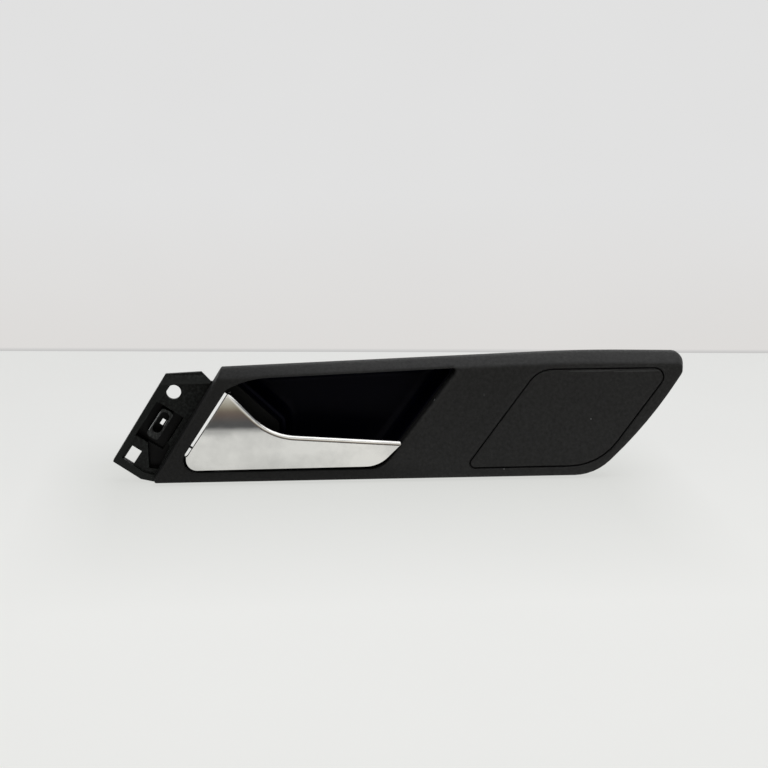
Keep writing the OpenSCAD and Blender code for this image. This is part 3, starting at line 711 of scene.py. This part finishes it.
# %% [markdown]
# Every piece of the handle has a name, so the finishes are laid on by name, and a piece that
# was forgotten would stop the script. The other solids keep the shape that the CAD gave them,
# edges too. Only their finish rounds the light.

# %% Lay the finishes on the nodes
FINISH_OF = {
    "bezel": "grained_black",
    "insert_panel": "insert_black",
    "finger_bowl": "bowl_black",
    "carrier": "carrier_black",
    "lever": "satin_chrome",
    "hinge_pin": "steel",
    "pin_clip": "steel",
    "return_spring": "spring_steel",
    "rest_pad": "rubber",
    "open_stop_pad": "rubber",
}


def finish_of(name):
    if name.startswith("screw_"):
        return "screw_steel"
    if name.startswith("trim_clip_"):
        return "clip_steel"
    return FINISH_OF[name]


def dress(thing, finish):
    thing.data.materials.clear()
    thing.data.materials.append(finishes[finish])


for name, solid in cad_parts.items():
    dress(solid, finish_of(name))
dress(lever, "satin_chrome")
print("dressed", len(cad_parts), "solids and the lever's shell")

# %% [markdown]
# The handle stands on a white table in front of a pale wall. Enough light to whiten both would
# wash out the black plastic. So the camera and mirrors see them as white whatever the lamps do,
# and only a share of real paint under that lets a soft shadow show. Painted light makes the white
# change slowly with distance, as the light does on the real table, and a painted shadow makes it
# a little dimmer round the handle. Seen from its back each card is clear, so a view from behind
# shows the handle and not the wall.

# %% White that fades
# where the painted shadow round the handle fades out
DIM_LEFT, DIM_RIGHT = (-0.08, -0.03), (0.29, 0.24)
DIM_FRONT, DIM_BACK = (-0.22, 0), (0.12, 0.04)
STAINS = 9


def rays_of(g, kinds):
    total = 0.0
    for kind in kinds:
        total = g.node("ShaderNodeLightPath", output=f"Is {kind} Ray") + total
    return total


def shown(g, factor, hidden, seen):
    mixed = g.node("ShaderNodeMixShader", {}, {0: factor, 1: hidden, 2: seen})
    g.fill(g.out, {"Surface": mixed})
    return g.material


def shadow_near_handle(g):
    x, y = g.along("X"), g.along("Y")
    front_to_back = g.rise(y, *DIM_FRONT) * g.rise(y, *DIM_BACK)
    return front_to_back * g.rise(x, *DIM_LEFT) * g.rise(x, *DIM_RIGHT)


def seen_white(name, paint, share, stops, axis, start, reach, shadow_tone=None):
    g = Graph(name)
    g.finish(Base_Color=paint, Roughness=0.9, Specular_IOR_Level=0.0)
    distance = (g.along(axis) - start) * (1 / reach)
    # painted light: the white falls off slowly with distance
    fade = g.node("ShaderNodeValToRGB", {"stops": stops}, {0: distance})
    if shadow_tone is not None:
        # painted shadow: the table is dimmer round the handle
        fade = g.mix(shadow_near_handle(g), fade, shadow_tone)
    cloudy = g.mix(g.noise(STAINS, 4) * 0.12, fade, times(stops[-2][1], 0.8))
    lit = g.node("ShaderNodeEmission", {}, {"Color": cloudy, "Strength": 1.0})
    factor = rays_of(g, ("Camera", "Glossy", "Transmission")) * share
    painted = Wire(g, g.shader.outputs[0])
    front = g.node("ShaderNodeMixShader", {}, {0: factor, 1: painted, 2: lit})
    from_behind = g.node("ShaderNodeNewGeometry", output="Backfacing")
    return shown(g, from_behind, front, g.node("ShaderNodeBsdfTransparent"))


print("whites ready")

# %% [markdown]
# Table and wall are one flat card each, because neither has an edge in the picture. A curved
# sweep is the usual backdrop, but here the wall meets the table in a thin dark joint. The wall
# isn't quite square to the handle, so that joint is given by its two ends.

# %% Table and wall
floor_z = table_z - 0.2 * MM
JOINT_LEFT, JOINT_RIGHT = (-3, 0.654), (3, 0.108)
NEAR_EDGE, WALL_TOP = -3, 1.5
TABLE_TONES = [
    (0.0, (0.885, 0.888, 0.87)),
    (0.42, (0.905, 0.908, 0.89)),
    (1.0, (0.96, 0.962, 0.94)),
]
# tone of the painted shadow round the handle
TABLE_SHADOW_TONE = (0.8, 0.807, 0.78)
WALL_TONES = [
    (0.0, (0.55, 0.545, 0.54)),
    (0.012, (0.62, 0.615, 0.61)),
    (0.024, (0.735, 0.72, 0.705)),
    (1.0, (0.765, 0.765, 0.765)),
]


def stage_card(name, corners, material):
    mesh = bpy.data.meshes.new(name)
    mesh.from_pydata(corners, [], [(0, 1, 2, 3)])
    mesh.materials.append(material)
    thing = bpy.data.objects.new(name, mesh)
    scene.collection.objects.link(thing)


def upright(left, right, top):
    return [(*left, floor_z), (*right, floor_z), (*right, top), (*left, top)]


table_white = seen_white(
    "table_white",
    paint=(0.8, 0.8, 0.79),
    share=0.78,
    stops=TABLE_TONES,
    axis="Y",
    start=0.33,
    reach=-0.55,
    shadow_tone=TABLE_SHADOW_TONE,
)
wall_white = seen_white(
    "wall_white",
    paint=(0.7, 0.7, 0.7),
    share=1.0,
    stops=WALL_TONES,
    axis="Z",
    start=floor_z,
    reach=0.12,
)
table_corners = [
    (JOINT_LEFT[0], NEAR_EDGE, floor_z),
    (JOINT_RIGHT[0], NEAR_EDGE, floor_z),
    (*JOINT_RIGHT, floor_z),
    (*JOINT_LEFT, floor_z),
]
stage_card("table", table_corners, table_white)
stage_card("wall", upright(JOINT_LEFT, JOINT_RIGHT, WALL_TOP), wall_white)
print("table at", round(table_z, 4), "and wall from", JOINT_LEFT, "to", JOINT_RIGHT)

# %% [markdown]
# A plated lever shows the room, not itself. What makes it read as metal is a dark room behind the
# photographer, above the white table. A whole room could be built, but the lever only sees a
# narrow strip of it, so one card with the tones of that strip stands in for it, for mirror rays
# only: the camera looks through it, and it takes no light away.

# %% The dark side of the room
CARD_AWAY, CARD_HALF_WIDTH, CARD_HEIGHT = 0.135, 1.2, 0.2
ROOM_TONES = [
    (0.0, (0.075, 0.077, 0.08)),
    (0.1, (0.1, 0.1, 0.1)),
    (0.2, (0.145, 0.116, 0.103)),
    (0.26, (0.19, 0.158, 0.127)),
    (0.31, (0.32, 0.29, 0.23)),
    (0.38, (0.44, 0.42, 0.36)),
    (0.6, (0.75, 0.74, 0.7)),
    (1.0, (0.95, 0.95, 0.95)),
]
g = Graph("dark_room")
height = (g.along("Z") - floor_z) * (1 / CARD_HEIGHT)
room_tone = g.node("ShaderNodeValToRGB", {"stops": ROOM_TONES}, {0: height})
glow = g.node("ShaderNodeEmission", {}, {"Color": room_tone, "Strength": 1.0})
clear = g.node("ShaderNodeBsdfTransparent")
card_y = face_y - CARD_AWAY
card_ends = (-CARD_HALF_WIDTH, card_y), (CARD_HALF_WIDTH, card_y)
stage_card(
    "dark_room",
    upright(*card_ends, floor_z + CARD_HEIGHT),
    shown(g, rays_of(g, ("Glossy",)), clear, glow),
)
print("dark card", CARD_AWAY, "m in front")

# %% [markdown]
# The light is a wide soft box overhead, more to the right, so the black fades toward the lever.
# Small lamps would put hard glints on the grain. A weak second box opens the shadow at the left,
# and a dim even room fills the rest.

# %% Lamps and room
# name, place, target, (width, height), watts
LAMPS = [
    ("overhead", (0.38, -0.1, 0.85), (0.18, 0.0, 0.0), (0.85, 0.85), 2.5),
    ("left_fill", (-1.0, -0.3, 0.35), (0.05, 0.0, 0.0), (0.5, 0.6), 0.5),
]
ROOM_COLOUR, ROOM_STRENGTH = (0.8, 0.82, 0.85, 1), 0.35


def soft_box(name, where, target, size, power):
    lamp = bpy.data.lights.new(name, "AREA")
    lamp.shape = "RECTANGLE"
    lamp.size, lamp.size_y = size
    lamp.energy = power
    thing = bpy.data.objects.new(name, lamp)
    thing.location = where
    scene.collection.objects.link(thing)
    aim(thing, Vector(target))


for lamp in LAMPS:
    soft_box(*lamp)

world = bpy.data.worlds.new("room")
world.use_nodes = True
room = world.node_tree.nodes["Background"]
room.inputs["Color"].default_value = ROOM_COLOUR
room.inputs["Strength"].default_value = ROOM_STRENGTH
scene.world = world
scene.view_settings.view_transform = "Standard"
print("lamps", len(LAMPS))
